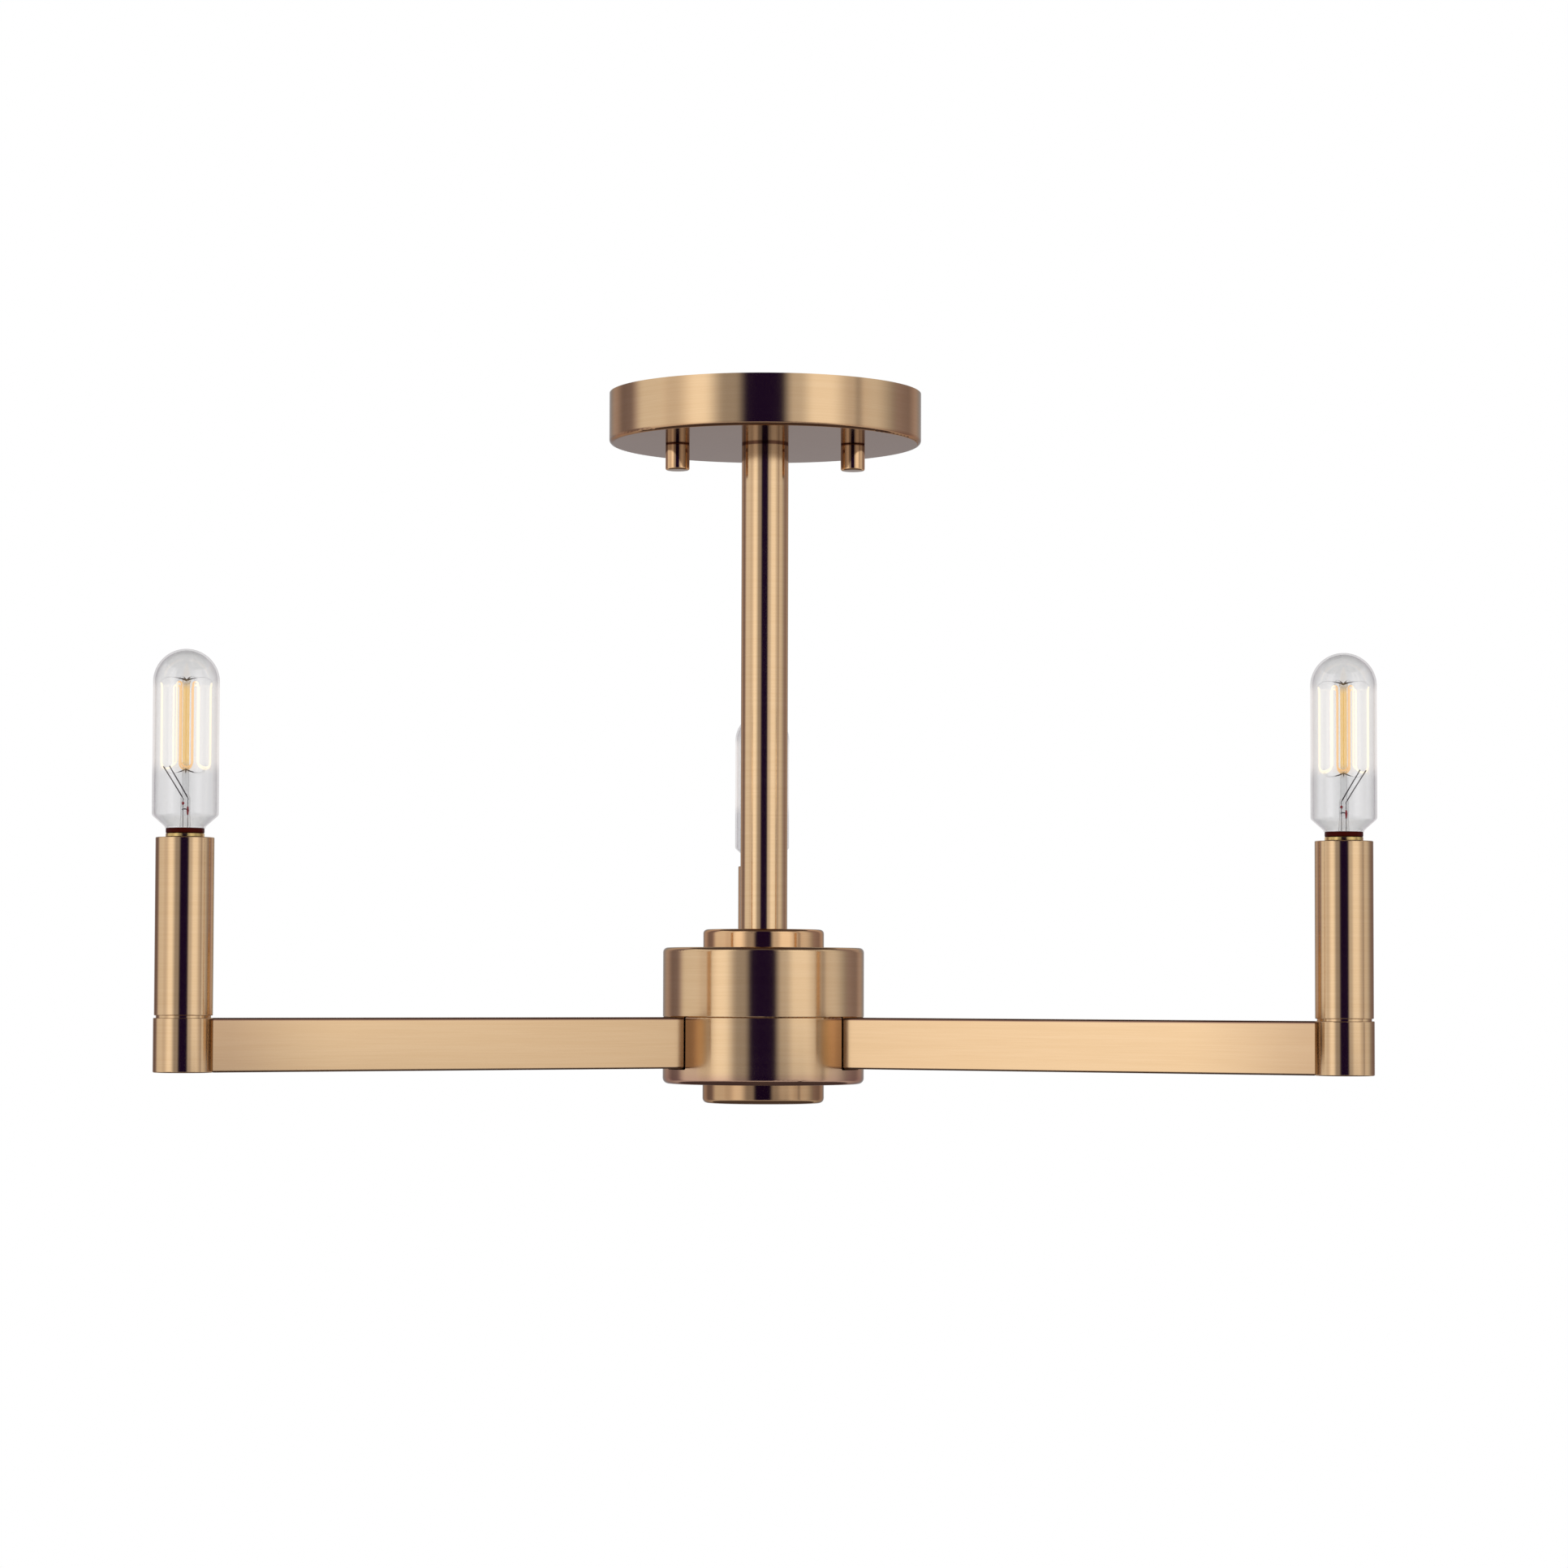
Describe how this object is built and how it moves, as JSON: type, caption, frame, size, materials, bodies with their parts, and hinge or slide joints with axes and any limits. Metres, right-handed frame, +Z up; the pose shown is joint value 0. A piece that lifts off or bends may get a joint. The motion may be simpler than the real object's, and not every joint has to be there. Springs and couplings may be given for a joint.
{
  "type": "semi flush ceiling light",
  "caption": "Semi flush ceiling light: round canopy, straight stem and stepped drum hub with straight square-cut arms, each carrying an upright sleeve and a clear tubular lamp.",
  "frame": {"origin": "on the ceiling plane, at the centre of the canopy and of the outlet-box screw slots", "axes": "+Z up into the ceiling along the stem; arm 1 points along +Y; the knob nuts stand on the X axis; the outlet-box screws are in line along Y"},
  "size_m": [0.4614, 0.403, 0.2882],
  "materials": {
    "satin_brass": "brushed satin, lacquered, golden bronze tone",
    "zinc_steel": "zinc plated",
    "green_steel": "green dipped",
    "bare_copper": "bare wire",
    "lead_insulation": "soft insulation",
    "connector_plastic": "moulded",
    "block_plastic": "moulded",
    "phenolic": "moulded phenolic",
    "shell_brass": "rolled thread",
    "lamp_brass": "rolled thread, brown cement collar",
    "lamp_glass": "clear",
    "mount_glass": "clear rod with metal lead-in wires",
    "filament": "glowing wire"
  },
  "bodies": {
    "fixture": {"canopy": "satin_brass", "stem": "satin_brass", "hub_top_ring": "satin_brass", "hub_upper_body": "satin_brass", "arm_1": "satin_brass", "arm_2": "satin_brass", "arm_3": "satin_brass", "cup_1": "satin_brass", "cup_2": "satin_brass", "cup_3": "satin_brass", "box_crossbar": "zinc_steel", "canopy_crossbar": "zinc_steel", "crossbar_rivet": "zinc_steel", "canopy_studs": "zinc_steel", "stud_nuts": "zinc_steel", "pipe_nuts": "zinc_steel", "hub_pipe": "zinc_steel", "canopy_pipe": "zinc_steel", "stem_bushes": "zinc_steel", "hub_posts": "zinc_steel", "arm_plate": "zinc_steel", "plate_screws": "zinc_steel", "centre_stud": "zinc_steel", "centre_nuts": "zinc_steel", "arm_screws": "zinc_steel", "arm_nut_bars": "zinc_steel", "socket_pipes": "zinc_steel", "socket_brackets": "zinc_steel", "earth_screw": "green_steel", "earth_lead": "bare_copper", "stem_leads": "lead_insulation", "arm_leads": "lead_insulation", "wire_nuts": "connector_plastic", "terminal_block": "block_plastic", "socket_body_1": "phenolic", "socket_body_2": "phenolic", "socket_body_3": "phenolic", "socket_shell_1": "shell_brass", "socket_shell_2": "shell_brass", "socket_shell_3": "shell_brass"},
    "knob_nut_left": {"knob_nut_left": "satin_brass"},
    "knob_nut_right": {"knob_nut_right": "satin_brass"},
    "lower_cover": {"hub_lower_body": "satin_brass"},
    "bottom_cap": {"bottom_cap": "satin_brass"},
    "sleeve_1": {"sleeve_1": "satin_brass"},
    "bulb_1": {"bulb_base_1": "lamp_brass", "bulb_glass_1": "lamp_glass", "bulb_mount_1": "mount_glass", "bulb_filament_1": "filament"},
    "sleeve_2": {"sleeve_2": "satin_brass"},
    "bulb_2": {"bulb_base_2": "lamp_brass", "bulb_glass_2": "lamp_glass", "bulb_mount_2": "mount_glass", "bulb_filament_2": "filament"},
    "sleeve_3": {"sleeve_3": "satin_brass"},
    "bulb_3": {"bulb_base_3": "lamp_brass", "bulb_glass_3": "lamp_glass", "bulb_mount_3": "mount_glass", "bulb_filament_3": "filament"}
  },
  "joints": [
    {"name": "knob_nut_left_unscrews", "type": "slide", "parent": "fixture", "child": "knob_nut_left", "axis": [0, 0, -1], "range_m": [0, 0.012]},
    {"name": "knob_nut_right_unscrews", "type": "slide", "parent": "fixture", "child": "knob_nut_right", "axis": [0, 0, -1], "range_m": [0, 0.012]},
    {"name": "lower_cover_drops", "type": "slide", "parent": "fixture", "child": "lower_cover", "axis": [0, 0, -1], "range_m": [0, 0.035]},
    {"name": "bottom_cap_unscrews", "type": "slide", "parent": "lower_cover", "child": "bottom_cap", "axis": [0, 0, -1], "range_m": [0, 0.01]},
    {"name": "sleeve_1_lifts", "type": "slide", "parent": "fixture", "child": "sleeve_1", "axis": [0, 0, 1], "range_m": [0, 0.0045]},
    {"name": "bulb_1_unscrews", "type": "slide", "parent": "fixture", "child": "bulb_1", "axis": [0, 0, 1], "range_m": [0, 0.024]},
    {"name": "sleeve_2_lifts", "type": "slide", "parent": "fixture", "child": "sleeve_2", "axis": [0, 0, 1], "range_m": [0, 0.0045]},
    {"name": "bulb_2_unscrews", "type": "slide", "parent": "fixture", "child": "bulb_2", "axis": [0, 0, 1], "range_m": [0, 0.024]},
    {"name": "sleeve_3_lifts", "type": "slide", "parent": "fixture", "child": "sleeve_3", "axis": [0, 0, 1], "range_m": [0, 0.0045]},
    {"name": "bulb_3_unscrews", "type": "slide", "parent": "fixture", "child": "bulb_3", "axis": [0, 0, 1], "range_m": [0, 0.024]}
  ]
}
